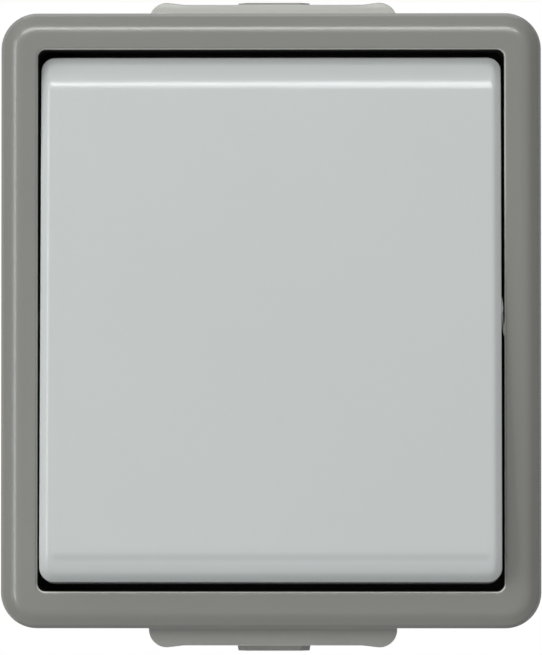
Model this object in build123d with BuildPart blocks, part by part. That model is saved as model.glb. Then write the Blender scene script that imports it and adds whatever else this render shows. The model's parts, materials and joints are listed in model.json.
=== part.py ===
"""Surface-mounted intermediate switch: wall box, cover frame, rocker and crossover switch insert.

Millimetres. The wall is the plane Y = 0, the front looks along -Y and +Z is up. A depth is a
distance from the wall, so Plane.XZ.offset(depth) is a sketch plane with X across and Z up.
The rocker rests with its upper half pressed in.
"""

import os
from math import atan2, cos, degrees, hypot, radians, sin

from build123d import *

os.makedirs("parts", exist_ok=True)

# Cover frame
frame_width = 66.0
frame_height = 75.2
frame_corner = 4.4
frame_border = 4.5
frame_depth = 46.0
bevel_width = 1.8
bevel_drop = 0.8
bevel_fillet = 3.2
frame_edge_chamfer = 0.4
lip_chamfer = 0.2
opening_corner = 0.95
cover_rear = 27.0
cover_wall = 1.4
opening_wall = 1.6
face_thickness = 1.6
floor_drop = 9.0
floor_thickness = 1.6
drip_rim_wall = 1.2
drip_rim_height = 0.8
nib_rise = 0.2
nib_length = 1.9
nib_height = -1.15
nib_depth = 4.0

# Rocker
tilt = 4.2
rocker_side_gap = 0.4
rocker_end_gap = 0.95
rocker_corner = 1.7
rocker_rise = 1.6
pivot_drop = 2.4
ramp_length = 3.1
ramp_drop = 1.1
ramp_fillet = 6.0
edge_bevel = 0.9
edge_drop = 0.46
edge_fillet = 1.3
skirt_drop = 2.6
rocker_wall = 1.6
rocker_plate = 1.8
stiffener_wall = 1.2
stiffener_height = 1.6
stiffener_spacing = 30.0
pusher_wall = 1.6
pusher_width = 14.0
pusher_spacing = 18.0
pusher_gap = 0.06
pin_radius = 1.2
pin_clearance = 0.05
pin_reach = 1.1
pin_end_gap = 0.15
guide_rise = 0.22
guide_length = 3.0
guide_height = 1.3
guide_drop = 0.5
guide_depth = 2.0

# Wall box
base_step = 0.5
base_corner = 3.9
back_wall = 2.2
spigot_clearance = 0.2
shoulder_gap = 0.3
gasket_thickness = 1.8
gasket_clearance = 0.1
wall_slot_width = 4.5
wall_slot_length = 8.0
wall_slot_inset = 6.0
pocket_depth = 0.8
pocket_rim = 5.0
pocket_bar = 11.0
cover_post_size = 6.8
cover_post_inset_x = 7.3
cover_post_inset_z = 5.6
insert_pad_size = 6.0
arm_width = 7.0
arm_thickness = 1.6
arm_hook = 1.0
arm_hook_height = 2.0
arm_clearance = 0.1

# Cable entries
entry_width = 31.2
entry_rise = 3.3
ear_rise = 0.5
ear_width = 4.2
entry_corner = 2.2
entry_lip = 0.3
entry_flare_gap = 0.1
entry_back = 2.0
entry_rim_fillet = 0.3
plug_width = 24.0
plug_start = 3.4
plug_height = 16.0
plug_clearance = 0.1
plug_overhang = 0.8
hook_reach = 0.8
hook_thickness = 0.7
hook_height = 6.0
core_width = 5.0
core_skin = 1.8
core_margin = 1.4
cable_depth = 9.5
grommet_width = 9.4
grommet_corner = 1.2
grommet_taper = 10.0
grommet_rise = 0.95
grommet_clearance = 0.05
grommet_bore = 3.5
grommet_recess = 2.7
grommet_web = 0.6
grommet_flange_width = 11.4
grommet_flange = 1.4

# Switch insert housing
insert_side_space = 8.3
wiring_space = 9.8
insert_wall = 1.8
insert_lift = 2.0
insert_floor = 2.0
insert_plate = 2.0
ledge_reach = 1.2
ledge_width = 8.0
ledge_depth = 12.0
ledge_thickness = 2.0
snap_width = 4.0
snap_spacing = 20.0
snap_thickness = 1.2
snap_length = 5.4
snap_hook = 0.9
snap_hook_height = 2.0
snap_clearance = 0.15
partition_wall = 1.2
partition_height = 13.8
access_margin = 0.6
collar_wall = 2.0
collar_height = 5.8
collar_gap = 0.8
seal_thickness = 1.4
seal_clearance = 0.2

# Toggle and plungers
toggle_pivot_stand = 2.6
toggle_width = 23.2
toggle_thickness = 9.0
toggle_drop = 8.8
wing_width = 18.0
wing_length = 24.0
wing_room = 2.0
wing_thickness = 2.2
wing_stand = 1.2
trunnion_radius = 2.0
trunnion_clearance = 0.05
trunnion_end_gap = 0.2
plunger_width = 3.4
plunger_clearance = 0.1
plunger_length = 6.0
plunger_tip_gap = 0.05
spring_length = 5.0
spring_wire = 0.4
spring_turns = 2.5
spring_step = 30
spring_clearance = 0.15

# Contact levers, rails and contact tips
lever_spacing = 16.0
lever_width = 5.0
lever_thickness = 0.8
lever_arm = 12.0
lever_overhang = 2.2
lever_drop = 12.8
lever_tilt = 7.0
fulcrum_width = 1.2
fulcrum_clearance = 0.05
fulcrum_length = 1.4
cheek_gap = 0.4
cheek_thickness = 0.8
cheek_length = 5.0
cheek_lip = 1.0
rail_thickness = 0.8
rail_width = 4.0
foot_width = 4.5
foot_length = 5.0
link_width = 2.4
bridge_height = 3.2
bridge_run = 5.0
tip_width = 3.4
tip_height = 0.9
tip_crown = 4.0
contact_gap = 0.05

# Terminals
terminal_width = 6.5
terminal_length = 7.5
terminal_height = 8.5
terminal_gap = 0.3
cage_wall = 1.2
cage_thread_wall = 2.2
wire_window_margin = 0.3

# Screws: shank, head and drive slot
screw_clearance = 0.05
cover_shank = 1.4
cover_head = 2.9
cover_screw_length = 10.0
clamp_shank = 1.45
clamp_lift = 1.6
clamp_reach = 0.6
passing_clearance = 0.25
slot_width = 0.8
slot_depth = 0.9
thread_end_gap = 1.0

# Places worked out from the sizes above; edges are picked within a small margin
pick_margin = 0.001
opening_width = frame_width - 2 * frame_border
opening_height = frame_height - 2 * frame_border
floor_front = frame_depth - floor_drop
floor_back = floor_front - floor_thickness
channel_roof = frame_depth - face_thickness
channel_width = frame_width - 2 * cover_wall
channel_height = frame_height - 2 * cover_wall
core_wall_width = opening_width + 2 * opening_wall
core_wall_height = opening_height + 2 * opening_wall

base_width = frame_width - 2 * base_step
base_height = frame_height - 2 * base_step
spigot_width = channel_width - 2 * spigot_clearance
spigot_height = channel_height - 2 * spigot_clearance
inner_width = core_wall_width + 2 * spigot_clearance
inner_height = core_wall_height + 2 * spigot_clearance
inner_corner = opening_corner + opening_wall + spigot_clearance
spigot_corner = frame_corner - cover_wall - spigot_clearance
shoulder = cover_rear - shoulder_gap
rim = channel_roof - gasket_thickness
wall_slot_height = inner_height / 2 - wall_slot_inset
cover_screw_x = inner_width / 2 - cover_post_inset_x
cover_screw_z = inner_height / 2 - cover_post_inset_z
cover_screws_at = [(-cover_screw_x, cover_screw_z), (cover_screw_x, -cover_screw_z)]

rocker_width = opening_width - 2 * rocker_side_gap
rocker_height = opening_height - 2 * rocker_end_gap
rocker_pivot = frame_depth - pivot_drop
rocker_plane = Plane.XZ.offset(rocker_pivot).rotated((-tilt, 0, 0))
rocker_side = Plane(rocker_plane.origin, x_dir=rocker_plane.y_dir, z_dir=rocker_plane.x_dir)
rocker_face = pivot_drop + rocker_rise
rocker_shoulder = rocker_face - edge_drop
rocker_underside = rocker_face - rocker_plate

insert_width = inner_width - 2 * insert_side_space
insert_height = inner_height - 2 * wiring_space
insert_back = back_wall + insert_lift
rail_level = insert_back + insert_floor
collar_rim = floor_back - seal_thickness
plate_front = collar_rim - collar_height
insert_rim = plate_front - insert_plate
ledge_front = ledge_depth + ledge_thickness
arm_x = insert_width / 2 + ledge_reach + arm_clearance + arm_thickness / 2
terminal_x = insert_width / 2 - insert_wall - terminal_gap - terminal_width / 2
terminal_z = insert_height / 2 - insert_wall - terminal_gap - terminal_length / 2
terminal_back = rail_level + rail_thickness
terminal_front = terminal_back + terminal_height
cage_roof = terminal_front - cage_thread_wall

window_width = toggle_width + 2 * collar_gap
window_height = wing_length + 2 * wing_room
toggle_pivot = plate_front + toggle_pivot_stand
toggle_plane = Plane.XZ.offset(toggle_pivot).rotated((-tilt, 0, 0))
wing_top = floor_front + wing_stand - toggle_pivot
wing_underside = wing_top - wing_thickness
pivot_gap = rocker_pivot - toggle_pivot
pusher_end = wing_top - pivot_gap + pusher_gap + pivot_gap * (1 - cos(radians(tilt)))

lever_x = lever_spacing / 2
lever_depth = toggle_pivot - lever_drop
lever_plane = Plane.XZ.offset(lever_depth).rotated((lever_tilt, 0, 0))
lever_front = lever_thickness / 2
plunger_tip = lever_depth + lever_front + plunger_tip_gap - toggle_pivot
plunger_top = plunger_tip + plunger_length
plunger_end_radius = plunger_width / 2
bore_width = plunger_width + 2 * plunger_clearance
bore_top = plunger_top + spring_length
crown_offset = tip_crown - lever_front - tip_height
contact_z = lever_arm * cos(radians(lever_tilt)) + crown_offset * sin(radians(lever_tilt))
contact_drop = lever_arm * sin(radians(lever_tilt)) - crown_offset * cos(radians(lever_tilt))
contact_top = lever_depth - contact_drop - tip_crown - contact_gap
pad_front = contact_top - tip_height
tip_edge = tip_crown - (tip_crown**2 - tip_width**2 / 4) ** 0.5
fulcrum_slot = hypot(fulcrum_width, lever_thickness) / 2 + fulcrum_clearance
cradle_width = lever_width + 2 * (cheek_gap + cheek_thickness)

# Cover frame: bevelled border, rocker well, inner floor and the channel that takes the box's rim
with BuildPart() as cover_frame:
    with BuildSketch(Plane.XZ.offset(cover_rear)):
        RectangleRounded(frame_width, frame_height, frame_corner)
    extrude(amount=frame_depth - cover_rear)
    front = cover_frame.faces().sort_by(Axis.Y)[0]
    chamfer(front.edges(), length=bevel_width, length2=bevel_drop, reference=front)
    fillet(cover_frame.faces().sort_by(Axis.Y)[0].edges(), radius=bevel_fillet)
    bevel_line = bevel_drop - frame_depth
    side_edges = cover_frame.edges().filter_by_position(
        Axis.Y, bevel_line - pick_margin, bevel_line + pick_margin
    )
    chamfer(side_edges, length=frame_edge_chamfer)
    with BuildSketch(Plane.XZ.offset(floor_front)):
        RectangleRounded(opening_width, opening_height, opening_corner)
    extrude(amount=floor_drop, mode=Mode.SUBTRACT)
    chamfer(cover_frame.faces().sort_by(Axis.Y)[0].inner_wires()[0].edges(), length=lip_chamfer)
    # Space for the box's spigot and the insert behind the floor
    with BuildSketch(Plane.XZ.offset(cover_rear)):
        RectangleRounded(channel_width, channel_height, frame_corner - cover_wall)
    extrude(amount=floor_back - cover_rear, mode=Mode.SUBTRACT)
    with BuildSketch(Plane.XZ.offset(floor_back)):
        RectangleRounded(channel_width, channel_height, frame_corner - cover_wall)
        RectangleRounded(
            core_wall_width, core_wall_height, opening_corner + opening_wall, mode=Mode.SUBTRACT
        )
    extrude(amount=channel_roof - floor_back, mode=Mode.SUBTRACT)
    # Drip rim and window for the toggle
    with BuildSketch(Plane.XZ.offset(floor_front)):
        Rectangle(window_width + 2 * drip_rim_wall, window_height + 2 * drip_rim_wall)
    extrude(amount=drip_rim_height)
    with BuildSketch(Plane.XZ.offset(floor_back)):
        Rectangle(window_width, window_height)
    extrude(amount=floor_thickness + drip_rim_height, mode=Mode.SUBTRACT)
    # Countersunk holes for the cover screws
    with BuildSketch(Plane.XZ.offset(floor_back)):
        with Locations(*cover_screws_at):
            Circle(cover_shank + passing_clearance)
    extrude(amount=floor_thickness, mode=Mode.SUBTRACT)
    with BuildSketch(Plane.XZ.offset(floor_front)):
        with Locations(*cover_screws_at):
            Circle(cover_head + passing_clearance)
    extrude(amount=-(cover_head - cover_shank), taper=45, mode=Mode.SUBTRACT)
    # Small centring nib on the right-hand wall of the well
    nib_radius = (nib_length**2 / 4 + nib_rise**2) / (2 * nib_rise)
    with BuildSketch(Plane.XZ.offset(frame_depth - lip_chamfer)):
        with Locations((opening_width / 2 - nib_rise + nib_radius, nib_height)):
            Circle(nib_radius)
        with Locations((opening_width / 2, nib_height)):
            Rectangle(opening_wall, nib_length, mode=Mode.INTERSECT)
    extrude(amount=-nib_depth)
    # Blind bearings for the rocker's pins
    for side in (-1, 1):
        with BuildSketch(Plane.YZ.offset(side * (opening_width / 2 - nib_rise))):
            with Locations((-rocker_pivot, 0)):
                Circle(pin_radius + pin_clearance)
        extrude(amount=side * (nib_rise + pin_reach + pin_end_gap), mode=Mode.SUBTRACT)
cover_frame.part.label = "cover_frame"
export_step(cover_frame.part, "parts/cover_frame.step")

# Rocker: hollow moulded key with ramped ends and a bevel all round, hinge pins and two pusher ribs
with BuildPart() as rocker:
    with BuildSketch(rocker_plane.offset(-skirt_drop)):
        RectangleRounded(rocker_width, rocker_height, rocker_corner)
    extrude(amount=skirt_drop + rocker_face)
    # Shallow ramps at both ends of the face, run out of it in a soft curve
    with BuildSketch(rocker_side):
        for end in (-1, 1):
            with BuildLine():
                Polyline(
                    (end * (rocker_height / 2 - ramp_length), rocker_face),
                    (end * rocker_height / 2, rocker_face),
                    (end * rocker_height / 2, rocker_face - ramp_drop),
                    close=True,
                )
            make_face()
    extrude(amount=rocker_width / 2, both=True, mode=Mode.SUBTRACT)
    rocker_up = Axis(rocker_plane.origin, rocker_plane.z_dir)
    fillet(rocker.faces().sort_by(rocker_up)[-1].edges().filter_by(Axis.X), radius=ramp_fillet)
    # Bevel all round: it runs on from the side edge of the face over the ramps and the corners
    face = rocker.faces().filter_by(GeomType.PLANE).sort_by(rocker_up)[-1]
    chamfer(face.edges().sort_by(Axis.X)[-1], length=edge_bevel, length2=edge_drop, reference=face)
    face = rocker.faces().filter_by(GeomType.PLANE).sort_by(rocker_up)[-1]
    fillet(face.edges().sort_by(Axis.X)[-1], radius=edge_fillet)
    with BuildSketch(rocker_plane.offset(-skirt_drop)):
        Rectangle(rocker_width - 2 * rocker_wall, rocker_height - 2 * rocker_wall)
    extrude(amount=skirt_drop + rocker_underside, mode=Mode.SUBTRACT)
    # Stiffening ribs under the plate
    with BuildSketch(rocker_plane.offset(rocker_underside - stiffener_height)):
        with GridLocations(stiffener_spacing, 0, 2, 1):
            Rectangle(stiffener_wall, rocker_height - rocker_wall)
        with GridLocations(0, 2 * pusher_spacing, 1, 2):
            Rectangle(rocker_width - rocker_wall, stiffener_wall)
    extrude(amount=stiffener_height)
    # Pushers that reach down to the toggle's wings
    with BuildSketch(rocker_plane.offset(pusher_end)):
        with GridLocations(0, pusher_spacing, 1, 2):
            Rectangle(pusher_width, pusher_wall)
    extrude(amount=rocker_underside - pusher_end)
    # Hinge pins on both side walls
    for side in (-1, 1):
        with BuildSketch(Plane.YZ.offset(side * (rocker_width - rocker_wall) / 2)):
            with Locations((-rocker_pivot, 0)):
                Circle(pin_radius)
        extrude(amount=side * (rocker_wall / 2 + rocker_side_gap + pin_reach))
    # Guide swell on the right-hand wall, beside the bearing
    guide_radius = (guide_length**2 / 4 + guide_rise**2) / (2 * guide_rise)
    with BuildSketch(rocker_plane.offset(rocker_shoulder - guide_drop)):
        with Locations((rocker_width / 2 + guide_rise - guide_radius, guide_height)):
            Circle(guide_radius)
        with Locations((rocker_width / 2, guide_height)):
            Rectangle(rocker_wall, guide_length, mode=Mode.INTERSECT)
    extrude(amount=-guide_depth)
rocker.part.label = "rocker"
export_step(rocker.part, "parts/rocker.step")

# Wall box: five walls, spigot for the cover, posts, pads and snap arms for the insert, fixing slots
with BuildPart() as base_box:
    with BuildSketch(Plane.XZ):
        RectangleRounded(base_width, base_height, base_corner)
    extrude(amount=shoulder)
    with BuildSketch(Plane.XZ.offset(shoulder)):
        RectangleRounded(spigot_width, spigot_height, spigot_corner)
    extrude(amount=rim - shoulder)
    with BuildSketch(Plane.XZ.offset(back_wall)):
        RectangleRounded(inner_width, inner_height, inner_corner)
    extrude(amount=rim - back_wall, mode=Mode.SUBTRACT)
    # Posts for the cover screws, joined to the end walls
    post_length = cover_post_inset_z + cover_post_size / 2
    with BuildSketch(Plane.XZ.offset(back_wall)):
        for x, z in cover_screws_at:
            with Locations((x, (z / abs(z)) * (inner_height - post_length) / 2)):
                Rectangle(cover_post_size, post_length)
    extrude(amount=floor_back - back_wall)
    with BuildSketch(Plane.XZ.offset(floor_back)):
        with Locations(*cover_screws_at):
            Circle(cover_shank + screw_clearance)
    extrude(amount=floor_thickness - cover_screw_length - thread_end_gap, mode=Mode.SUBTRACT)
    # Pads under the insert's corners
    with BuildSketch(Plane.XZ.offset(back_wall)):
        with GridLocations(insert_width - insert_pad_size, insert_height - insert_pad_size, 2, 2):
            Rectangle(insert_pad_size, insert_pad_size)
    extrude(amount=insert_lift)
    # Snap arms that hook over the insert's ledges
    with BuildSketch(Plane.XZ.offset(back_wall)):
        with GridLocations(2 * arm_x, 0, 2, 1):
            Rectangle(arm_thickness, arm_width)
    extrude(amount=ledge_front + arm_clearance + arm_hook_height - back_wall)
    with BuildSketch(Plane.XZ.offset(ledge_front + arm_clearance)):
        with GridLocations(2 * arm_x - arm_hook, 0, 2, 1):
            Rectangle(arm_thickness + arm_hook, arm_width)
    extrude(amount=arm_hook_height)
    # Upright fixing slots on the centre line
    with BuildSketch(Plane.XZ):
        with GridLocations(0, 2 * wall_slot_height, 1, 2):
            SlotOverall(wall_slot_length, wall_slot_width, rotation=90)
    extrude(amount=back_wall, mode=Mode.SUBTRACT)
    # Shallow pockets in the back leave a rim and a cross that bear on the wall
    pocket_width = base_width / 2 - pocket_rim - pocket_bar / 2
    pocket_height = base_height / 2 - pocket_rim - pocket_bar / 2
    with BuildSketch(Plane.XZ):
        with GridLocations(pocket_width + pocket_bar, pocket_height + pocket_bar, 2, 2):
            Rectangle(pocket_width, pocket_height)
    extrude(amount=pocket_depth, mode=Mode.SUBTRACT)
    # Windows for the cable entries in the top and bottom walls
    for side in (-1, 1):
        with BuildSketch(Plane.XY.offset(side * base_height / 2)):
            with Locations((0, -plug_start - plug_height / 2)):
                Rectangle(plug_width, plug_height)
        extrude(amount=-side * (base_height - inner_height) / 2, mode=Mode.SUBTRACT)
base_box.part.label = "base_box"
export_step(base_box.part, "parts/base_box.step")

# Gasket between the box's rim and the roof of the cover's channel
with BuildPart() as cover_gasket:
    with BuildSketch(Plane.XZ.offset(rim)):
        RectangleRounded(
            channel_width - 2 * gasket_clearance,
            channel_height - 2 * gasket_clearance,
            frame_corner - cover_wall - gasket_clearance,
        )
        RectangleRounded(
            core_wall_width + 2 * gasket_clearance,
            core_wall_height + 2 * gasket_clearance,
            opening_corner + opening_wall + gasket_clearance,
            mode=Mode.SUBTRACT,
        )
    extrude(amount=gasket_thickness)
cover_gasket.part.label = "cover_gasket"
export_step(cover_gasket.part, "parts/cover_gasket.step")

# Countersunk screws through the cover's floor into the tall posts
with BuildPart() as cover_screws:
    with BuildSketch(Plane.XZ.offset(floor_front)):
        with Locations(*cover_screws_at):
            Circle(cover_head)
    extrude(amount=-(cover_head - cover_shank), taper=45)
    with BuildSketch(Plane.XZ.offset(floor_front)):
        with Locations(*cover_screws_at):
            Circle(cover_shank)
    extrude(amount=-cover_screw_length)
    with BuildSketch(Plane.XZ.offset(floor_front)):
        with Locations(*cover_screws_at):
            Rectangle(2 * cover_head, slot_width)
    extrude(amount=-slot_depth, mode=Mode.SUBTRACT)
cover_screws.part.label = "cover_screws"
export_step(cover_screws.part, "parts/cover_screws.step")

# Cable entries: flared collars plugged into the windows of the box, each with a rubber grommet
wall_face = base_height / 2
ear_reach = wall_face + entry_rise + ear_rise
flare_radius = entry_rise + ear_rise - entry_lip
flare_start = shoulder - entry_flare_gap
entry_front = flare_start - flare_radius
plug_end = inner_height / 2 - plug_overhang
plug_centre = -plug_start - plug_height / 2
grommet_start = wall_face + entry_rise
grommet_end = grommet_start + grommet_rise
grommet_hole = grommet_width + 2 * grommet_clearance
for name, side in (("top", 1), ("bottom", -1)):
    with BuildPart() as cable_entry:
        # Side profile with the hollow flare, run across the full width
        with BuildSketch(Plane.YZ.offset(-entry_width / 2)):
            with BuildLine():
                Polyline(
                    (-flare_start, side * (wall_face + entry_lip)),
                    (-flare_start, side * wall_face),
                    (-entry_back, side * wall_face),
                    (-entry_back, side * ear_reach),
                    (-entry_front, side * ear_reach),
                )
                ThreePointArc(
                    (-entry_front, side * ear_reach),
                    (
                        -flare_start + flare_radius * cos(radians(45)),
                        side * (ear_reach - flare_radius * sin(radians(45))),
                    ),
                    (-flare_start, side * (wall_face + entry_lip)),
                )
            make_face()
        extrude(amount=entry_width)
        # Front outline with a raised ear at each end
        with BuildSketch(Plane.XZ.offset(entry_back)) as outline:
            with BuildLine():
                Polyline(
                    (-entry_width / 2, side * wall_face),
                    (-entry_width / 2, side * ear_reach),
                    (ear_width - entry_width / 2, side * (ear_reach - ear_rise)),
                    (entry_width / 2 - ear_width, side * (ear_reach - ear_rise)),
                    (entry_width / 2, side * ear_reach),
                    (entry_width / 2, side * wall_face),
                    close=True,
                )
            make_face()
            ears = outline.vertices().group_by(Axis.Y)[-1 if side > 0 else 0]
            fillet(ears, radius=entry_corner)
        extrude(amount=flare_start - entry_back, mode=Mode.INTERSECT)
        rim_edges = cable_entry.edges().filter_by(
            lambda edge: abs(edge.center().Z) > wall_face + entry_rise / 2
            and edge.bounding_box().size.X > plug_width / 2
        )
        fillet(rim_edges, radius=entry_rim_fillet)
        # Plug in the window, with two hooks behind the wall
        with BuildSketch(Plane.XY.offset(side * plug_end)):
            with Locations((0, plug_centre)):
                Rectangle(plug_width - 2 * plug_clearance, plug_height - 2 * plug_clearance)
        extrude(amount=side * (wall_face - plug_end))
        with BuildSketch(Plane.XY.offset(side * plug_end)):
            with Locations((0, plug_centre)):
                Rectangle(plug_width + 2 * hook_reach, hook_height)
        extrude(amount=side * hook_thickness)
        # Pockets that keep the wall even, beside the grommet's hole
        with BuildSketch(Plane.XY.offset(side * plug_end)):
            with Locations((0, plug_centre)):
                with GridLocations(plug_width - core_width - 2 * core_margin, 0, 2, 1):
                    Rectangle(core_width, plug_height - 2 * core_margin)
        extrude(amount=side * (wall_face + entry_rise - core_skin - plug_end), mode=Mode.SUBTRACT)
        with BuildSketch(Plane.XY.offset(side * plug_end)):
            with Locations((0, -cable_depth)):
                hole = Rectangle(grommet_hole, grommet_hole)
            chamfer(hole.vertices(), length=grommet_corner)
        extrude(amount=side * (grommet_end - plug_end), mode=Mode.SUBTRACT)
    cable_entry.part.label = f"cable_entry_{name}"
    export_step(cable_entry.part, f"parts/cable_entry_{name}.step")

    with BuildPart() as entry_grommet:
        # Square nipple with a tapered end and a flange inside
        with BuildSketch(Plane.XY.offset(side * plug_end)):
            with Locations((0, -cable_depth)):
                neck = Rectangle(grommet_width, grommet_width)
            chamfer(neck.vertices(), length=grommet_corner)
        extrude(amount=side * (grommet_start - plug_end))
        with BuildSketch(Plane.XY.offset(side * grommet_start)):
            with Locations((0, -cable_depth)):
                tip = Rectangle(grommet_width, grommet_width)
            chamfer(tip.vertices(), length=grommet_corner)
        extrude(amount=side * grommet_rise, taper=grommet_taper)
        with BuildSketch(Plane.XY.offset(side * plug_end)):
            with Locations((0, -cable_depth)):
                Rectangle(grommet_flange_width, grommet_flange_width)
        extrude(amount=-side * grommet_flange)
        # Round recesses from both ends leave a thin web to be pierced
        with BuildSketch(Plane.XY.offset(side * grommet_end)):
            with Locations((0, -cable_depth)):
                Circle(grommet_bore)
        extrude(amount=-side * grommet_recess, mode=Mode.SUBTRACT)
        with BuildSketch(Plane.XY.offset(side * (grommet_end - grommet_recess - grommet_web))):
            with Locations((0, -cable_depth)):
                Circle(grommet_bore)
        inner_recess = grommet_end - grommet_recess - grommet_web - plug_end + grommet_flange
        extrude(amount=-side * inner_recess, mode=Mode.SUBTRACT)
    entry_grommet.part.label = f"entry_grommet_{name}"
    export_step(entry_grommet.part, f"parts/entry_grommet_{name}.step")

# Insert base: moulded socket with ledges, terminal partitions, wire windows and snap windows
with BuildPart() as insert_base:
    with BuildSketch(Plane.XZ.offset(insert_back)):
        Rectangle(insert_width, insert_height)
    extrude(amount=insert_rim - insert_back)
    with BuildSketch(Plane.XZ.offset(rail_level)):
        Rectangle(insert_width - 2 * insert_wall, insert_height - 2 * insert_wall)
    extrude(amount=insert_rim - rail_level, mode=Mode.SUBTRACT)
    with BuildSketch(Plane.XZ.offset(ledge_depth)):
        with GridLocations(insert_width + ledge_reach, 0, 2, 1):
            Rectangle(ledge_reach, ledge_width)
    extrude(amount=ledge_thickness)
    # Partitions between the terminals
    partition_x = terminal_x - terminal_width / 2 - terminal_gap - partition_wall / 2
    partition_length = terminal_length + terminal_gap
    partition_spacing = insert_height - 2 * insert_wall - partition_length
    with BuildSketch(Plane.XZ.offset(rail_level)):
        with GridLocations(2 * partition_x, partition_spacing, 2, 2):
            Rectangle(partition_wall, partition_length)
    extrude(amount=partition_height)
    # Wire windows in the end walls, opposite the clamps
    wire_window_width = terminal_width - 2 * cage_wall + 2 * wire_window_margin
    wire_window_height = cage_roof - terminal_back - cage_wall + 2 * wire_window_margin
    wire_window_depth = (cage_roof + terminal_back + cage_wall) / 2
    for side in (-1, 1):
        with BuildSketch(Plane.XY.offset(side * insert_height / 2)):
            with Locations((-terminal_x, -wire_window_depth), (terminal_x, -wire_window_depth)):
                Rectangle(wire_window_width, wire_window_height)
        extrude(amount=-side * insert_wall, mode=Mode.SUBTRACT)
    # Windows for the cover's snap hooks in the side walls
    snap_depth = insert_rim - snap_length + snap_hook_height / 2
    with BuildSketch(Plane.YZ.offset(-insert_width / 2)):
        with Locations((-snap_depth, -snap_spacing / 2), (-snap_depth, snap_spacing / 2)):
            Rectangle(snap_hook_height + 2 * snap_clearance, snap_width + 2 * snap_clearance)
    extrude(amount=insert_width, mode=Mode.SUBTRACT)
insert_base.part.label = "insert_base"
export_step(insert_base.part, "parts/insert_base.step")

# Insert cover: plate with snap legs and the collar that carries the toggle
with BuildPart() as insert_cover:
    with BuildSketch(Plane.XZ.offset(insert_rim)):
        Rectangle(insert_width, insert_height)
    extrude(amount=insert_plate)
    with BuildSketch(Plane.XZ.offset(plate_front)):
        Rectangle(window_width + 2 * collar_wall, window_height + 2 * collar_wall)
    extrude(amount=collar_rim - plate_front)
    with BuildSketch(Plane.XZ.offset(insert_rim)):
        Rectangle(window_width, window_height)
    extrude(amount=collar_rim - insert_rim, mode=Mode.SUBTRACT)
    with BuildSketch(Plane.YZ.offset(-window_width / 2 - collar_wall)):
        with Locations((-toggle_pivot, 0)):
            Circle(trunnion_radius + trunnion_clearance)
    extrude(amount=window_width + 2 * collar_wall, mode=Mode.SUBTRACT)
    # Cut-outs at the corners give access to the clamp screws
    access_width = insert_width / 2 - terminal_x + terminal_width / 2 + access_margin
    access_height = insert_height / 2 - terminal_z + terminal_length / 2 + access_margin
    with BuildSketch(Plane.XZ.offset(insert_rim)):
        with GridLocations(insert_width - access_width, insert_height - access_height, 2, 2):
            Rectangle(access_width, access_height)
    extrude(amount=insert_plate, mode=Mode.SUBTRACT)
    # Snap legs inside the side walls, hooked into their windows
    leg_x = insert_width / 2 - insert_wall - snap_clearance - snap_thickness / 2
    hook_x = leg_x + snap_hook / 2
    with BuildSketch(Plane.XZ.offset(insert_rim)):
        with GridLocations(2 * leg_x, snap_spacing, 2, 2):
            Rectangle(snap_thickness, snap_width)
    extrude(amount=-snap_length)
    with BuildSketch(Plane.XZ.offset(insert_rim - snap_length)):
        with GridLocations(2 * hook_x, snap_spacing, 2, 2):
            Rectangle(snap_thickness + snap_hook, snap_width)
    extrude(amount=snap_hook_height)
insert_cover.part.label = "insert_cover"
export_step(insert_cover.part, "parts/insert_cover.step")

# Seal between the insert's collar and the underside of the cover's floor
with BuildPart() as window_seal:
    with BuildSketch(Plane.XZ.offset(collar_rim)):
        Rectangle(
            window_width + 2 * (collar_wall - seal_clearance),
            window_height + 2 * (collar_wall - seal_clearance),
        )
        Rectangle(
            window_width + 2 * seal_clearance,
            window_height + 2 * seal_clearance,
            mode=Mode.SUBTRACT,
        )
    extrude(amount=seal_thickness)
window_seal.part.label = "window_seal"
export_step(window_seal.part, "parts/window_seal.step")

# Toggle: see-saw block with wings under the rocker's pushers and a bore for each plunger
with BuildPart() as toggle:
    with BuildSketch(toggle_plane.offset(-toggle_drop)):
        Rectangle(toggle_width, toggle_thickness)
    extrude(amount=toggle_drop + wing_underside)
    with BuildSketch(toggle_plane.offset(wing_underside)):
        Rectangle(wing_width, wing_length)
    extrude(amount=wing_thickness)
    with BuildSketch(toggle_plane.offset(-toggle_drop)):
        with GridLocations(lever_spacing, 0, 2, 1):
            Rectangle(bore_width, bore_width)
    extrude(amount=toggle_drop + bore_top, mode=Mode.SUBTRACT)
    for side in (-1, 1):
        with BuildSketch(Plane.YZ.offset(side * toggle_width / 2)):
            with Locations((-toggle_pivot, 0)):
                Circle(trunnion_radius)
        extrude(amount=side * (collar_gap + collar_wall - trunnion_end_gap))
toggle.part.label = "toggle"
export_step(toggle.part, "parts/toggle.step")

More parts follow.
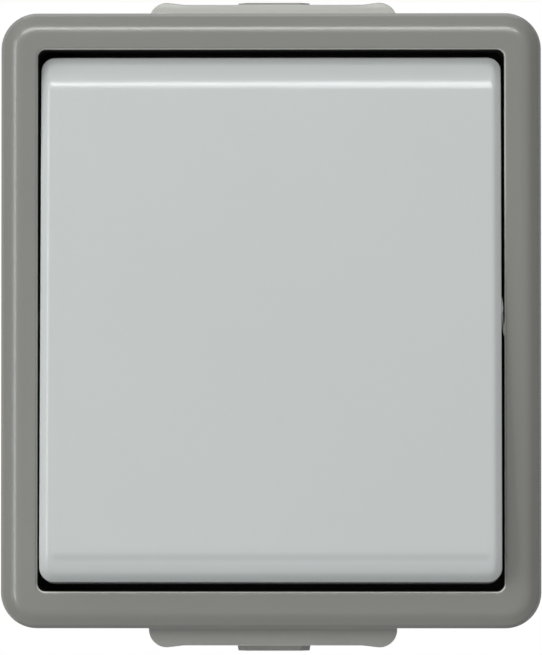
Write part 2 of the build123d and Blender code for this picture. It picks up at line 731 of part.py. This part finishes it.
# What repeats left and right in the insert
coil_radius = bore_width / 2 - spring_clearance - spring_wire / 2
coil_end = hypot(spring_wire, spring_wire) / 2
coil_height = spring_length - 2 * coil_end
coil_angles = range(0, int(360 * spring_turns) + 1, spring_step)
for name, side in (("left", -1), ("right", 1)):
    # Plunger: square block with a round end that slides along the lever
    plunger_side = Plane(
        origin=toggle_plane.from_local_coords(Vector(side * lever_x - plunger_width / 2, 0, 0)),
        x_dir=toggle_plane.y_dir,
        z_dir=(1, 0, 0),
    )
    with BuildPart() as plunger:
        with BuildSketch(plunger_side):
            with BuildLine():
                Polyline(
                    (-plunger_end_radius, plunger_tip + plunger_end_radius),
                    (-plunger_end_radius, plunger_top),
                    (plunger_end_radius, plunger_top),
                    (plunger_end_radius, plunger_tip + plunger_end_radius),
                )
                ThreePointArc(
                    (plunger_end_radius, plunger_tip + plunger_end_radius),
                    (0, plunger_tip),
                    (-plunger_end_radius, plunger_tip + plunger_end_radius),
                )
            make_face()
        extrude(amount=plunger_width)
    plunger.part.label = f"plunger_{name}"
    export_step(plunger.part, f"parts/plunger_{name}.step")

    # Coil spring above the plunger, wound in short straight steps
    coil_points = [
        toggle_plane.from_local_coords(
            Vector(
                side * lever_x + coil_radius * cos(radians(angle)),
                coil_radius * sin(radians(angle)),
                plunger_top + coil_end + coil_height * angle / coil_angles[-1],
            )
        )
        for angle in coil_angles
    ]
    with BuildPart() as plunger_spring:
        with BuildLine() as coil:
            Polyline(*coil_points)
        with BuildSketch(Plane(origin=coil.line @ 0, z_dir=coil.line % 0)):
            Rectangle(spring_wire, spring_wire)
        sweep(path=coil.line, transition=Transition.RIGHT)
    plunger_spring.part.label = f"plunger_spring_{name}"
    export_step(plunger_spring.part, f"parts/plunger_spring_{name}.step")

    # Contact lever on its fulcrum, tilted so that its lower end closes
    with BuildPart() as contact_lever:
        with BuildSketch(lever_plane.offset(-lever_thickness / 2)):
            with Locations((side * lever_x, 0)):
                Rectangle(lever_width, 2 * (lever_arm + lever_overhang))
                Rectangle(lever_width + 2 * fulcrum_length, fulcrum_width)
        extrude(amount=lever_thickness)
    contact_lever.part.label = f"contact_lever_{name}"
    export_step(contact_lever.part, f"parts/contact_lever_{name}.step")

    # Crowned contact tips on the lever's rear side, one at each end
    with BuildPart() as lever_contacts:
        tip_plane = Plane(
            origin=lever_plane.from_local_coords(Vector(side * lever_x - tip_width / 2, 0, -lever_front)),
            x_dir=lever_plane.y_dir,
            z_dir=(1, 0, 0),
        )
        with BuildSketch(tip_plane):
            for end in (-1, 1):
                with BuildLine():
                    Polyline(
                        (end * lever_arm + tip_width / 2, tip_edge - tip_height),
                        (end * lever_arm + tip_width / 2, 0),
                        (end * lever_arm - tip_width / 2, 0),
                        (end * lever_arm - tip_width / 2, tip_edge - tip_height),
                    )
                    ThreePointArc(
                        (end * lever_arm - tip_width / 2, tip_edge - tip_height),
                        (end * lever_arm, -tip_height),
                        (end * lever_arm + tip_width / 2, tip_edge - tip_height),
                    )
                make_face()
        extrude(amount=tip_width)
    lever_contacts.part.label = f"lever_contacts_{name}"
    export_step(lever_contacts.part, f"parts/lever_contacts_{name}.step")

    # Feed rail: strip from the upper terminal to the cradle of the lever
    with BuildPart() as feed_rail:
        with BuildSketch(Plane.XZ.offset(rail_level)):
            with Locations((side * lever_x, 0)):
                Rectangle(cradle_width, cheek_length)
            with Locations((side * (lever_x + terminal_x) / 2, 0)):
                Rectangle(terminal_x - lever_x + rail_width, rail_width)
            with Locations((side * terminal_x, terminal_z / 2)):
                Rectangle(rail_width, terminal_z + rail_width)
        extrude(amount=rail_thickness)
        with BuildSketch(Plane.XZ.offset(rail_level)):
            with Locations((side * lever_x, 0)):
                with GridLocations(cradle_width - cheek_thickness, 0, 2, 1):
                    Rectangle(cheek_thickness, cheek_length)
        extrude(amount=lever_depth + cheek_lip - rail_level)
        # Open slots in both cheeks for the lever's fulcrum tabs
        with BuildSketch(Plane.YZ.offset(side * lever_x - cradle_width / 2)):
            with Locations((fulcrum_slot - lever_depth, 0)):
                Rectangle(fulcrum_slot + cheek_lip, 2 * fulcrum_slot, align=(Align.MAX, Align.CENTER))
        extrude(amount=cradle_width, mode=Mode.SUBTRACT)
    feed_rail.part.label = f"feed_rail_{name}"
    export_step(feed_rail.part, f"parts/feed_rail_{name}.step")

# Cross rails: each joins a lower contact to the upper contact of the other lever. The lower one
# lies on the floor and the upper one bridges it.
diagonal = hypot(lever_x, contact_z)
diagonal_angle = degrees(atan2(contact_z, lever_x))
for name, side in (("lower", 1), ("upper", -1)):
    ends = [(side * lever_x, -contact_z), (-side * lever_x, contact_z)]
    with BuildPart() as cross_rail:
        # Feet, and the run from the lower foot to the lower terminal
        with BuildSketch(Plane.XZ.offset(rail_level)):
            with Locations(*ends):
                Rectangle(foot_width, foot_length)
            with Locations((side * (lever_x + terminal_x) / 2, -contact_z)):
                Rectangle(terminal_x - lever_x + rail_width, rail_width)
            with Locations((side * terminal_x, -(contact_z + terminal_z) / 2)):
                Rectangle(rail_width, terminal_z - contact_z + rail_width)
        extrude(amount=rail_thickness)
        # Upright legs and the pads that carry the contact tips
        with BuildSketch(Plane.XZ.offset(rail_level)):
            with GridLocations(0, 2 * contact_z + foot_length - rail_thickness, 1, 2):
                Rectangle(foot_width + lever_spacing, rail_thickness)
            with Locations((side * lever_x, contact_z), (-side * lever_x, -contact_z)):
                Rectangle(lever_spacing, 2 * foot_length, mode=Mode.SUBTRACT)
        extrude(amount=pad_front - rail_level)
        with BuildSketch(Plane.XZ.offset(pad_front)):
            with Locations(*ends):
                Rectangle(foot_width, foot_length)
        extrude(amount=-rail_thickness)
        # Link from foot to foot
        if name == "lower":
            with BuildSketch(Plane.XZ.offset(rail_level)):
                Rectangle(2 * diagonal, link_width, rotation=-diagonal_angle)
            extrude(amount=rail_thickness)
        else:
            across = Vector(lever_x, 0, contact_z) / diagonal
            link_plane = Plane(
                origin=(0, -rail_level - rail_thickness / 2, 0),
                x_dir=across,
                z_dir=across.cross(Vector(0, -1, 0)),
            )
            with BuildSketch(link_plane.offset(-link_width / 2)):
                with BuildLine():
                    Polyline(
                        (-diagonal, 0),
                        (-bridge_run, 0),
                        (-bridge_run, bridge_height),
                        (bridge_run, bridge_height),
                        (bridge_run, 0),
                        (diagonal, 0),
                    )
                trace(line_width=rail_thickness)
            extrude(amount=link_width)
    cross_rail.part.label = f"cross_rail_{name}"
    export_step(cross_rail.part, f"parts/cross_rail_{name}.step")

# Crowned contact tips on the four pads of the cross rails
with BuildPart() as fixed_contacts:
    with BuildSketch(Plane.YZ.offset(-lever_x - tip_width / 2)):
        for end in (-1, 1):
            with BuildLine():
                Polyline(
                    (tip_edge - contact_top, end * contact_z + tip_width / 2),
                    (-pad_front, end * contact_z + tip_width / 2),
                    (-pad_front, end * contact_z - tip_width / 2),
                    (tip_edge - contact_top, end * contact_z - tip_width / 2),
                )
                ThreePointArc(
                    (tip_edge - contact_top, end * contact_z - tip_width / 2),
                    (-contact_top, end * contact_z),
                    (tip_edge - contact_top, end * contact_z + tip_width / 2),
                )
            make_face()
    extrude(amount=lever_spacing + tip_width)
    with BuildSketch(Plane.XZ.offset(pad_front)):
        Rectangle(lever_spacing - tip_width, insert_height)
    extrude(amount=tip_height, mode=Mode.SUBTRACT)
fixed_contacts.part.label = "fixed_contacts"
export_step(fixed_contacts.part, "parts/fixed_contacts.step")

# Clamp cages, each on the end of its rail, open towards the wire
for name, x, z in (
    ("top_left", -terminal_x, terminal_z),
    ("top_right", terminal_x, terminal_z),
    ("bottom_left", -terminal_x, -terminal_z),
    ("bottom_right", terminal_x, -terminal_z),
):
    with BuildPart() as terminal:
        with BuildSketch(Plane.XZ.offset(terminal_back)):
            with Locations((x, z)):
                Rectangle(terminal_width, terminal_length)
        extrude(amount=terminal_height)
        with BuildSketch(Plane.XZ.offset(terminal_back + cage_wall)):
            with Locations((x, z)):
                Rectangle(terminal_width - 2 * cage_wall, terminal_length)
        extrude(amount=cage_roof - terminal_back - cage_wall, mode=Mode.SUBTRACT)
        with BuildSketch(Plane.XZ.offset(cage_roof)):
            with Locations((x, z)):
                Circle(clamp_shank + screw_clearance)
        extrude(amount=cage_thread_wall, mode=Mode.SUBTRACT)
    terminal.part.label = f"terminal_{name}"
    export_step(terminal.part, f"parts/terminal_{name}.step")

# Headless slotted clamp screws, one in each cage
with BuildPart() as terminal_screws:
    with BuildSketch(Plane.XZ.offset(cage_roof - clamp_reach)):
        with GridLocations(2 * terminal_x, 2 * terminal_z, 2, 2):
            Circle(clamp_shank)
    extrude(amount=clamp_reach + cage_thread_wall + clamp_lift)
    with BuildSketch(Plane.XZ.offset(terminal_front + clamp_lift)):
        with GridLocations(2 * terminal_x, 2 * terminal_z, 2, 2):
            Rectangle(2 * clamp_shank, slot_width)
    extrude(amount=-slot_depth, mode=Mode.SUBTRACT)
terminal_screws.part.label = "terminal_screws"
export_step(terminal_screws.part, "parts/terminal_screws.step")
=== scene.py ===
"""Surface-mounted intermediate switch: finishes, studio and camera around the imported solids."""

import json

import bpy
import numpy as np
from mathutils import Matrix, Vector


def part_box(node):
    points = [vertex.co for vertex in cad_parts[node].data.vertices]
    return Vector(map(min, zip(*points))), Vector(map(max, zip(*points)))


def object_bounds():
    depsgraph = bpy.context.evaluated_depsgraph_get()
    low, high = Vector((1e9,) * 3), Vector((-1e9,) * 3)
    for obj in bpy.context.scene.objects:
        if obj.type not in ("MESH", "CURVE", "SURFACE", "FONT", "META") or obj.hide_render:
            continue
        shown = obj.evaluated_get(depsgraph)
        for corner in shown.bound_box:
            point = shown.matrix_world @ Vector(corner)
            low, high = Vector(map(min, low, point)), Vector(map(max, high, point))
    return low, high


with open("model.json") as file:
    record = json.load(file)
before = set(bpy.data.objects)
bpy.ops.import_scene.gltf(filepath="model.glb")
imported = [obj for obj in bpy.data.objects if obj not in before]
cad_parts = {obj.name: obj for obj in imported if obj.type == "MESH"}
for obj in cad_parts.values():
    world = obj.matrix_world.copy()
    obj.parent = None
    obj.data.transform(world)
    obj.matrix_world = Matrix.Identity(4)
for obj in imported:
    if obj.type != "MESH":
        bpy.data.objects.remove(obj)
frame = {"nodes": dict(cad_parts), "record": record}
cad_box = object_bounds()
scene = bpy.context.scene
scene.view_settings.view_transform = "Standard"

# Photograph: its frame in pixels, the cover's width in it and the place of the cover's centre
image_width, image_height = 542, 655
cover_pixels = 540.8
cover_centre = (270.9, 320.2)

# Camera: distance to the cover's face in metres, direction in degrees, sensor and near limit
camera_distance = 0.700
camera_azimuth = 0.7
camera_elevation = -1.4
sensor_millimetres = 36.0
clip_start = 0.01

# Plastics and rubbers, as linear colours
frame_grey = (0.200, 0.203, 0.186)
rocker_grey = (0.505, 0.535, 0.530)
entry_grey = (0.470, 0.475, 0.442)
grommet_grey = (0.330, 0.333, 0.315)
insert_black = (0.030, 0.030, 0.032)
toggle_white = (0.72, 0.72, 0.68)
seal_black = (0.018, 0.018, 0.018)

# Metals, as linear colours
strip_brass = (0.72, 0.52, 0.22)
cage_brass = (0.68, 0.50, 0.22)
contact_silver = (0.80, 0.79, 0.76)
zinc_grey = (0.60, 0.60, 0.62)
spring_grey = (0.50, 0.50, 0.52)

# Streaks in a metal: the scale of its noise on each axis, where a small one draws the noise out
streaks_up = (1, 1, 0.05)
streaks_deep = (1, 0.05, 1)
streaks_turned = (1, 0.2, 1)
no_streaks = (1, 1, 1)

# Middle of a noise's range
mid_noise = 0.5

# Cover: its box, the middle of its face and the half size of the rocker's opening, in metres
cover_low, cover_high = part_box("cover_frame")
cover_face = Vector(((cover_low.x + cover_high.x) / 2, cover_low.y, (cover_low.z + cover_high.z) / 2))
cover_border = 0.0045
opening_half = (cover_high.x - cover_border, cover_high.z - cover_border)

# Lip of the cover's well: where its slope starts and ends below the face, how softly its mask ends,
# how far that reaches past the opening, where the lower edge begins, and the painted highlight on the
# other edges
lip_start = (0.00002, 0.00006)
lip_depth = 0.00032
lip_blend = 0.0002
lip_outside = (lip_blend, lip_blend * 1.5)
lip_lower = (opening_half[1] - 0.0012, opening_half[1] - 0.0002)
lip_elsewhere = 0.35

# Rocker's pins, which get painted shade: they start past its left wall and past the swell on its right
# wall
pins_left = (0.02812, 0.02822)
pins_right = (0.02834, 0.02844)

# Painted shade in the crease above the rocker's lower ramp, on its lower edge and in the lower collar's
# hollow
crease_drop = 0.02885
crease_reach = 0.0008
crease_ends = (0.0258, 0.0272)
crease_painted_shade = 0.14
edge_span = (0.0298, 0.0322)
edge_painted_shade = 0.3
hollow_span = (cover_high.z, cover_high.z + 0.0024)
hollow_painted_shade = 0.7


class Wire:
    """One output socket. Arithmetic on wires and numbers adds Math nodes to their tree."""

    def __init__(self, socket):
        self.socket = socket
        self.tree = socket.id_data

    def node(self, kind, settings=None, out=0, **sockets):
        """Adds a node of this kind: its settings first, then a value or a wire for each named socket.
        The name From_Min stands for the socket From Min, and in0 for the first socket."""
        made = self.tree.nodes.new(kind)
        for name, value in (settings or {}).items():
            setattr(made, name, value)
        for name, value in sockets.items():
            by_place = name[:2] == "in" and name[2:].isdigit()
            place = int(name[2:]) if by_place else name.replace("_", " ")
            if isinstance(value, Wire):
                self.tree.links.new(value.socket, made.inputs[place])
            else:
                made.inputs[place].default_value = value
        return Wire(made.outputs[out])

    def math(self, operation, first, second):
        return self.node("ShaderNodeMath", {"operation": operation}, in0=first, in1=second)

    def __add__(self, other):
        return self.math("ADD", self, other)

    def __radd__(self, other):
        return self.math("ADD", other, self)

    def __sub__(self, other):
        return self.math("SUBTRACT", self, other)

    def __rsub__(self, other):
        return self.math("SUBTRACT", other, self)

    def __mul__(self, other):
        return self.math("MULTIPLY", self, other)

    def __rmul__(self, other):
        return self.math("MULTIPLY", other, self)

    def __neg__(self):
        return self.math("SUBTRACT", 0, self)

    def size(self):
        """This value without its sign."""
        return self.node("ShaderNodeMath", {"operation": "ABSOLUTE"}, in0=self)

    def rise(self, low, high):
        """0 up to low and 1 from high, with a smooth step between."""
        smooth = {"interpolation_type": "SMOOTHSTEP"}
        return self.node("ShaderNodeMapRange", smooth, Value=self, From_Min=low, From_Max=high)

    def axes(self):
        """The X, Y and Z of this vector."""
        x = self.node("ShaderNodeSeparateXYZ", Vector=self)
        return [Wire(output) for output in x.socket.node.outputs]

    def noise(self, size, detail=2.0, roughness=0.5):
        """Noise from 0 to 1 whose blobs are about size metres, on this vector."""
        fineness = 1 / size
        return self.node(
            "ShaderNodeTexNoise", Vector=self, Scale=fineness, Detail=detail, Roughness=roughness
        )

    def tint(self, low, high):
        """Colour from low to high, each a wire or a linear colour, as this value goes from 0 to 1."""
        low, high = (ink if isinstance(ink, Wire) else (*ink, 1) for ink in (low, high))
        return self.node("ShaderNodeMix", {"data_type": "RGBA"}, out=2, in0=self, in6=low, in7=high)

    def rounded(self, radius, samples=8):
        """Normal of the surface with its edges rounded to about this radius."""
        return self.node("ShaderNodeBevel", {"samples": samples}, Radius=radius)

    def bump(self, depth, normal):
        """Normal of a surface with this height from 0 to 1, depth metres high, on a given normal."""
        return self.node("ShaderNodeBump", Height=self, Distance=depth, Normal=normal)


def shaded(colour, share):
    """A colour made lighter or darker by a share of itself."""
    return tuple(channel * (1 + share) for channel in colour)


def new_finish(name):
    """A material with its Principled shader and the Object coordinates of its surface."""
    material = bpy.data.materials.new(name)
    material.use_nodes = True
    shader = material.node_tree.nodes["Principled BSDF"]
    place = material.node_tree.nodes.new("ShaderNodeTexCoord").outputs["Object"]
    return material, shader, Wire(place)


def feed(shader, **wires):
    """Links each wire to the shader's socket of that name."""
    for name, wire in wires.items():
        wire.tree.links.new(wire.socket, shader.inputs[name.replace("_", " ")])


def moulded(name, colour, gloss, grain, grain_depth, mottle=0.03, shadow=None, painted_highlight=None):
    """Moulded plastic: faint cloudy mottle in colour, a fine spark-eroded grain and uneven gloss. Where
    shadow, a function of the place, gives 1, painted shade makes the plastic dark and dull, and where the
    last such function does, a painted highlight makes it pale. Painted shade below dull_from keeps the
    gloss."""
    edge, cloud_size, cloud_part = 0.0003, 0.018, 0.7
    cloud_sheen, grain_sheen = 0.05, 0.06
    # Shares of the colour taken away for painted shade and added for painted highlight
    shade_share, highlight_share = -0.93, 3.0
    dull, dull_from = 0.9, 0.7
    material, shader, place = new_finish(name)
    clouds = place.noise(cloud_size, detail=3)
    fine = place.noise(grain)
    blotches = clouds * cloud_part + fine * (1 - cloud_part)
    ink = blotches.tint(shaded(colour, -mottle), shaded(colour, mottle))
    sheen = gloss + (clouds - mid_noise) * cloud_sheen + (fine - mid_noise) * grain_sheen
    if shadow:
        depth = shadow(place)
        ink = depth.tint(ink, shaded(colour, shade_share))
        sheen = sheen + depth.rise(dull_from, 1) * (dull - sheen)
    if painted_highlight:
        ink = painted_highlight(place).tint(ink, shaded(colour, highlight_share))
    feed(shader, Base_Color=ink, Roughness=sheen, Normal=fine.bump(grain_depth, place.rounded(edge)))
    return material


def in_opening(x, z, start, end):
    """1 within the rocker's opening in the cover, falling to 0 from start to end outside it."""
    across = (x.size() - opening_half[0]).rise(start, end)
    along = (z.size() - opening_half[1]).rise(start, end)
    return (1 - across) * (1 - along)


def well_shadow(place):
    """Painted shade, 1 on the walls and the floor of the cover's well from just under its lip, and 0 on
    the rest.
    """
    x, y, z = place.axes()
    sunk = y - cover_low.y
    return in_opening(x, z, 0, lip_blend) * sunk.rise(lip_depth, lip_depth + lip_blend)


def lip_painted_highlight(place):
    """Painted highlight, 1 on the lower edge of the narrow slope round the mouth of the cover's well,
    less on its other edges, and 0 on the rest."""
    x, y, z = place.axes()
    sunk = y - cover_low.y
    slope = sunk.rise(*lip_start) - sunk.rise(lip_depth, lip_depth + lip_blend)
    highlight_weight = lip_elsewhere + (-z).rise(*lip_lower) * (1 - lip_elsewhere)
    return in_opening(x, z, *lip_outside) * slope * highlight_weight


def rocker_shadow(place):
    """Painted shade, 1 on the rocker's hinge pins, which stand out of its side walls, a trace of it in the
    crease above its lower ramp and on the lower edge, and 0 on the rest."""
    x, _, z = place.axes()
    pins = (-x).rise(*pins_left) + x.rise(*pins_right)
    crease = (1 - (z + crease_drop).size().rise(0, crease_reach)) * (1 - x.size().rise(*crease_ends))
    return pins + crease * crease_painted_shade + (-z).rise(*edge_span) * edge_painted_shade


def hollow_shadow(place):
    """Painted shade next to the cover in the hollow of the lower collar, and 0 at its rim and on the upper
    one.
    """
    _, _, z = place.axes()
    lower = (-z).rise(0, cover_high.z)
    return lower * (1 - (-z).rise(*hollow_span)) * hollow_painted_shade


def rubbery(name, colour):
    """Soft rubber: matt, with a dusty bloom in patches and a fine uneven skin."""
    bloom_size, skin_size, skin_depth = 0.004, 0.0003, 0.000012
    edge, specular = 0.0003, 0.35
    clean, dusty = -0.12, 0.18
    clean_sheen, dusty_sheen = 0.62, 0.82
    material, shader, place = new_finish(name)
    shader.inputs["Specular IOR Level"].default_value = specular
    bloom = place.noise(bloom_size, detail=4, roughness=0.6)
    skin = place.noise(skin_size)
    feed(
        shader,
        Base_Color=bloom.tint(shaded(colour, clean), shaded(colour, dusty)),
        Roughness=clean_sheen + bloom * (dusty_sheen - clean_sheen),
        Normal=skin.bump(skin_depth, place.rounded(edge)),
    )
    return material


def metallic(name, colour, gloss, stretch, tarnish):
    """Rolled or turned metal: fine streaks along one axis and a darker film in patches."""
    streak_size, streak_depth, film_size, film_part = 0.0006, 0.000004, 0.003, 0.7
    edge, bare = 0.0001, 0.08
    least_sheen, streak_sheen, film_sheen = gloss - 0.1, 0.16, 0.08
    material, shader, place = new_finish(name)
    shader.inputs["Metallic"].default_value = 1.0
    streaks = place.node("ShaderNodeMapping", Vector=place, Scale=stretch).noise(streak_size, detail=3)
    film = place.noise(film_size, detail=3)
    patches = film * film_part + streaks * (1 - film_part)
    feed(
        shader,
        Base_Color=patches.tint(shaded(colour, -tarnish), shaded(colour, bare)),
        Roughness=least_sheen + streaks * streak_sheen + film * film_sheen,
        Normal=streaks.bump(streak_depth, place.rounded(edge)),
    )
    return material


# One finish for each material slot of the record
# The frame plastic gets painted shade in its well and a painted highlight on its lip; the rocker and entry
# plastics get painted shade
finishes = {
    "frame_plastic": moulded(
        "frame plastic", frame_grey, gloss=0.21, grain=0.00030, grain_depth=0.000002,
        shadow=well_shadow, painted_highlight=lip_painted_highlight,
    ),
    "rocker_plastic": moulded(
        "rocker plastic", rocker_grey, gloss=0.20, grain=0.00030, grain_depth=0.000001,
        mottle=0.015, shadow=rocker_shadow,
    ),
    "box_plastic": moulded("box plastic", frame_grey, gloss=0.42, grain=0.00022, grain_depth=0.000006),
    "entry_plastic": moulded(
        "entry plastic", entry_grey, gloss=0.30, grain=0.00022, grain_depth=0.000003,
        shadow=hollow_shadow,
    ),
    "insert_plastic": moulded(
        "insert plastic", insert_black, gloss=0.5, grain=0.00025, grain_depth=0.000006, mottle=0.12
    ),
    "toggle_plastic": moulded(
        "toggle plastic", toggle_white, gloss=0.4, grain=0.00025, grain_depth=0.000004
    ),
    "grommet_rubber": rubbery("grommet rubber", grommet_grey),
    "seal_rubber": rubbery("seal rubber", seal_black),
    "brass": metallic("brass strip", strip_brass, gloss=0.30, stretch=streaks_up, tarnish=0.25),
    "clamp_brass": metallic("clamp brass", cage_brass, gloss=0.34, stretch=streaks_deep, tarnish=0.25),
    "contact_metal": metallic(
        "contact metal", contact_silver, gloss=0.26, stretch=no_streaks, tarnish=0.3
    ),
    "steel": metallic("zinc plated steel", zinc_grey, gloss=0.32, stretch=streaks_turned, tarnish=0.2),
    "spring_steel": metallic("spring steel", spring_grey, gloss=0.28, stretch=no_streaks, tarnish=0.25),
}
for part in frame["record"]["subparts"]:
    node = frame["nodes"][part["node"]]
    node.data.materials.clear()
    node.data.materials.append(finishes[part["material_slot"]])


def towards(azimuth, elevation):
    """Unit vector in degrees: azimuth from the front towards +X, elevation up."""
    side, rise = np.radians(azimuth), np.radians(elevation)
    return Vector((np.sin(side) * np.cos(rise), -np.cos(side) * np.cos(rise), np.sin(rise)))


def facing(place, direction, axis):
    """Matrix of an object at place that turns its own axis along direction and its Y up."""
    return Matrix.Translation(place) @ direction.to_track_quat(axis, "Y").to_matrix().to_4x4()


def lamp(name, direction, distance, width, height, radiance):
    """A soft rectangular lamp that looks at the cover's face from a direction; its power follows from its
    area and radiance."""
    light = bpy.data.lights.new(name, "AREA")
    light.shape = "RECTANGLE"
    light.size, light.size_y = width, height
    light.energy = radiance * np.pi * width * height
    lamp_object = bpy.data.objects.new(name, light)
    lamp_object.matrix_world = facing(cover_face + direction * distance, -direction, "-Z")
    scene.collection.objects.link(lamp_object)
    return lamp_object


# Studio: soft boxes as (azimuth, elevation, width, height, radiance), and those that leave no reflection
lamp_distance = 0.9
soft_boxes = {
    "top strip": (-3, 27, 0.60, 0.12, 13.5),
    "left strip": (-32, 2, 0.12, 0.50, 7.0),
    "broad left": (-57, 13, 0.70, 0.70, 2.6),
    "overhead": (-5, 74, 0.80, 0.50, 1.0),
    "rear overhead": (180, 72, 0.80, 0.50, 1.0),
    "rear": (180, 12, 0.80, 0.40, 2.4),
    "rear right": (122, 8, 0.50, 0.60, 1.2),
    "low fill": (0, -24, 0.60, 0.30, 2.6),
}
not_mirrored = ("broad left", "rear", "rear right", "low fill")
for name, (azimuth, elevation, width, height, radiance) in soft_boxes.items():
    soft_box = lamp(name, towards(azimuth, elevation), lamp_distance, width, height, radiance)
    soft_box.visible_glossy = name not in not_mirrored

# Surround: white to the camera and in reflections, but for dark walls at both sides in front and a
# dim ground there, which only reflections show, and a little even light on the object
surround_light = 0.10
wall_dimming = 0.9
ground_share = 0.6
front_span = (-0.2, 0.1)
wall_span = (0.45, 0.75)
ground_span = (0.25, 0.6)
world = bpy.data.worlds.new("surround")
scene.world = world
world.use_nodes = True
surround = world.node_tree.nodes["Background"]
rays = world.node_tree.nodes.new("ShaderNodeLightPath")
mirrored = Wire(rays.outputs["Is Glossy Ray"])
seen = Wire(rays.outputs["Is Camera Ray"]) + mirrored + Wire(rays.outputs["Is Transmission Ray"])
direction = Wire(world.node_tree.nodes.new("ShaderNodeTexCoord").outputs["Generated"])
across, inward, upward = direction.axes()
open_front = (1 - across.size().rise(*wall_span)) * (1 - (-upward).rise(*ground_span) * ground_share)
dark_walls = (-inward).rise(*front_span) * (1 - open_front)
surround.inputs["Color"].default_value = (1, 1, 1, 1)
feed(
    surround,
    Strength=surround_light + seen * (1 - surround_light) - mirrored * dark_walls * wall_dimming,
)

# Floor well below the object, near white to the camera, with a trace of the object's shadow
floor_gap = 0.500
floor_half = 0.40
floor_tones = ((0.84, 0.84, 0.84), (0.88, 0.88, 0.88))
floor_patches = 0.3
floor_roughness = 0.8
floor_glow = 0.985
floor_level = cad_box[0].z - floor_gap
corners = np.array([(-1, -1), (1, -1), (1, 1), (-1, 1)]) * floor_half
floor_mesh = bpy.data.meshes.new("floor")
floor_mesh.from_pydata([(x, y, floor_level) for x, y in corners], [], [(0, 1, 2, 3)])
floor = bpy.data.objects.new("floor", floor_mesh)
scene.collection.objects.link(floor)
floor_finish, floor_shader, floor_place = new_finish("floor paint")
floor_shader.inputs["Roughness"].default_value = floor_roughness
feed(floor_shader, Base_Color=floor_place.noise(floor_patches).tint(*floor_tones))
glow = floor_place.node("ShaderNodeEmission", Strength=1.0)
floor_rays = floor_place.tree.nodes.new("ShaderNodeLightPath")
to_camera = Wire(floor_rays.outputs["Is Camera Ray"]) * floor_glow
floor_mix = floor_place.node(
    "ShaderNodeMixShader", in0=to_camera, in1=Wire(floor_shader.outputs["BSDF"]), in2=glow
)
floor_place.tree.links.new(floor_mix.socket, floor_place.tree.nodes["Material Output"].inputs["Surface"])
floor_mesh.materials.append(floor_finish)

# Camera aimed at the centre of the cover's face, shifted to the photograph's framing
sight = towards(camera_azimuth, camera_elevation)
camera_data = bpy.data.cameras.new("camera")
camera = bpy.data.objects.new("camera", camera_data)
scene.collection.objects.link(camera)
scene.camera = camera
camera.matrix_world = facing(cover_face + sight * camera_distance, sight, "Z")
view_height = (cover_high.x - cover_low.x) * image_height / cover_pixels
camera_data.sensor_width = sensor_millimetres
camera_data.lens = sensor_millimetres * camera_distance / view_height
camera_data.shift_x = (image_width / 2 - cover_centre[0]) / image_height
camera_data.shift_y = (cover_centre[1] - image_height / 2) / image_height
camera_data.clip_start = clip_start
